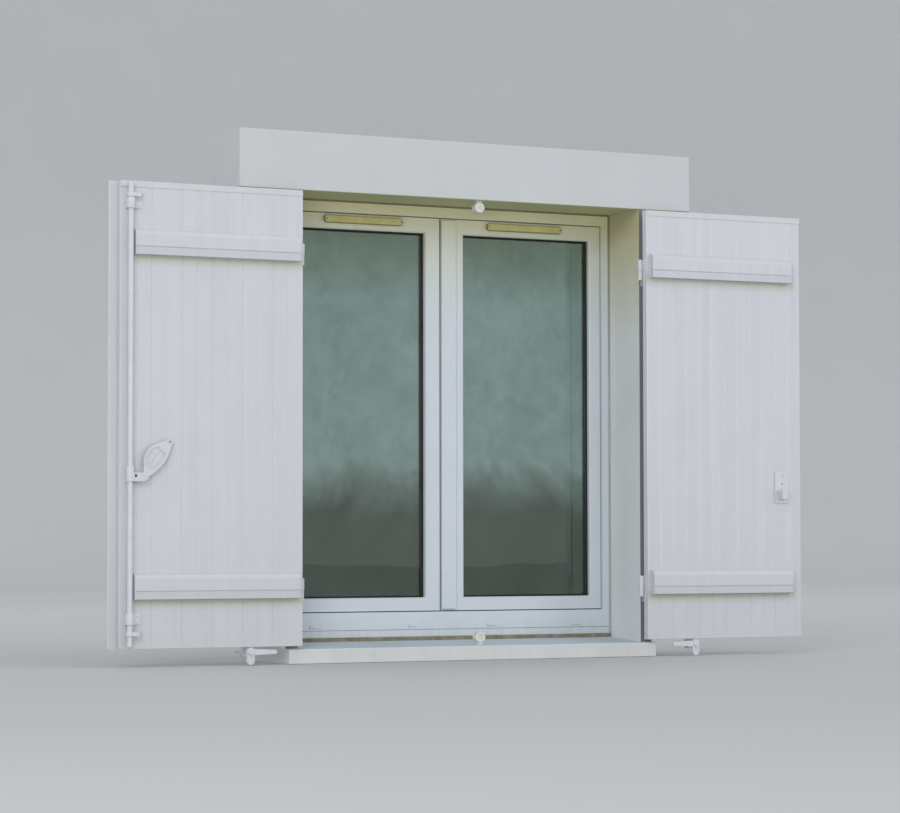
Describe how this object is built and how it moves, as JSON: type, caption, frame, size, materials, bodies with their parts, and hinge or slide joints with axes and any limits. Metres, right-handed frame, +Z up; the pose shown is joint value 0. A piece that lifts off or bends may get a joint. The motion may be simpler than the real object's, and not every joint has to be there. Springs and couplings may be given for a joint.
{
  "type": "two-leaf swing shutter",
  "caption": "Pair of boarded swing shutter leaves on strap hinges, open flat on either side of a casement window in its surround, with a turning bolt and wall dogs.",
  "frame": {"origin": "middle of the sill's underside, on the plane of the wall's face", "axes": "+X to the right along the wall as seen from outside, +Y into the wall, +Z up"},
  "size_m": [2.402, 0.377, 1.622],
  "materials": {
    "masonry_white": "painted matte render",
    "leaf_white": "satin white",
    "window_white": "smooth white",
    "hardware_white": "gloss white",
    "handle_white": "satin white",
    "vent_cream": "matte cream",
    "stop_white": "satin white",
    "pane": "clear",
    "spacer_metal": "satin"
  },
  "bodies": {
    "surround": {"sill": "masonry_white", "lintel": "masonry_white", "left_jamb": "masonry_white", "right_jamb": "masonry_white", "sill_stop": "stop_white", "soffit_stop": "stop_white", "window_frame": "window_white", "left_frame_butts": "handle_white", "right_frame_butts": "handle_white", "left_dog_stem": "hardware_white", "right_dog_stem": "hardware_white", "left_lower_pintle": "hardware_white", "left_upper_pintle": "hardware_white", "right_lower_pintle": "hardware_white", "right_upper_pintle": "hardware_white"},
    "left_leaf": {"left_planks": "leaf_white", "left_edge_rail": "leaf_white", "left_top_cap": "leaf_white", "left_bottom_cap": "leaf_white", "left_lower_bar": "leaf_white", "left_upper_bar": "leaf_white", "left_lower_bar_ends": "leaf_white", "left_upper_bar_ends": "leaf_white", "left_lower_strap": "hardware_white", "left_upper_strap": "hardware_white", "left_cover_strip": "leaf_white", "lower_rod_guide": "hardware_white", "upper_rod_guide": "hardware_white"},
    "right_leaf": {"right_planks": "leaf_white", "right_edge_rail": "leaf_white", "right_top_cap": "leaf_white", "right_bottom_cap": "leaf_white", "right_lower_bar": "leaf_white", "right_upper_bar": "leaf_white", "right_lower_bar_ends": "leaf_white", "right_upper_bar_ends": "leaf_white", "right_lower_strap": "hardware_white", "right_upper_strap": "hardware_white", "grip_keeper": "hardware_white"},
    "bolt": {"bolt_rod": "hardware_white", "lower_hook": "hardware_white", "upper_hook": "hardware_white", "grip_clevis": "hardware_white"},
    "bolt_grip": {"grip": "hardware_white"},
    "left_dog": {"left_dog_head": "hardware_white"},
    "right_dog": {"right_dog_head": "hardware_white"},
    "left_casement": {"left_sash": "window_white", "left_glazing": "pane", "left_glazing_spacer": "spacer_metal", "left_vent_cover": "vent_cream", "left_sash_butts": "handle_white"},
    "right_casement": {"right_sash": "window_white", "right_glazing": "pane", "right_glazing_spacer": "spacer_metal", "right_vent_cover": "vent_cream", "right_sash_butts": "handle_white", "meeting_strip": "window_white", "handle_rose": "handle_white"},
    "window_handle": {"handle_lever": "handle_white"}
  },
  "joints": [
    {"name": "left_leaf_swing", "type": "hinge", "parent": "surround", "child": "left_leaf", "pos_m": [-0.5945, -0.016, 0.24], "axis": [0, 0, 1], "range_deg": [0, 180]},
    {"name": "right_leaf_swing", "type": "hinge", "parent": "surround", "child": "right_leaf", "pos_m": [0.5945, -0.016, 0.24], "axis": [0, 0, -1], "range_deg": [0, 180]},
    {"name": "bolt_turn", "type": "hinge", "parent": "left_leaf", "child": "bolt", "pos_m": [-1.1595, -0.0555, 0.6], "axis": [0, 0, -1], "range_deg": [0, 180]},
    {"name": "grip_tilt", "type": "hinge", "parent": "bolt", "child": "bolt_grip", "pos_m": [-1.1175, -0.0555, 0.561], "axis": [0, 1, 0], "range_deg": [-30, 68]},
    {"name": "left_dog_turn", "type": "hinge", "parent": "surround", "child": "left_dog", "pos_m": [-0.775, -0.05, 0.04], "axis": [0, 1, 0], "range_deg": [-90, 0]},
    {"name": "right_dog_turn", "type": "hinge", "parent": "surround", "child": "right_dog", "pos_m": [0.775, -0.05, 0.04], "axis": [0, 1, 0], "range_deg": [0, 90]},
    {"name": "left_casement_swing", "type": "hinge", "parent": "surround", "child": "left_casement", "pos_m": [-0.588, 0.268, 0.3], "axis": [0, 0, 1], "range_deg": [0, 90]},
    {"name": "right_casement_swing", "type": "hinge", "parent": "surround", "child": "right_casement", "pos_m": [0.588, 0.268, 0.3], "axis": [0, 0, -1], "range_deg": [0, 90]},
    {"name": "window_handle_turn", "type": "hinge", "parent": "right_casement", "child": "window_handle", "pos_m": [0.0125, 0.28, 0.735], "axis": [0, -1, 0], "range_deg": [0, 90]}
  ]
}
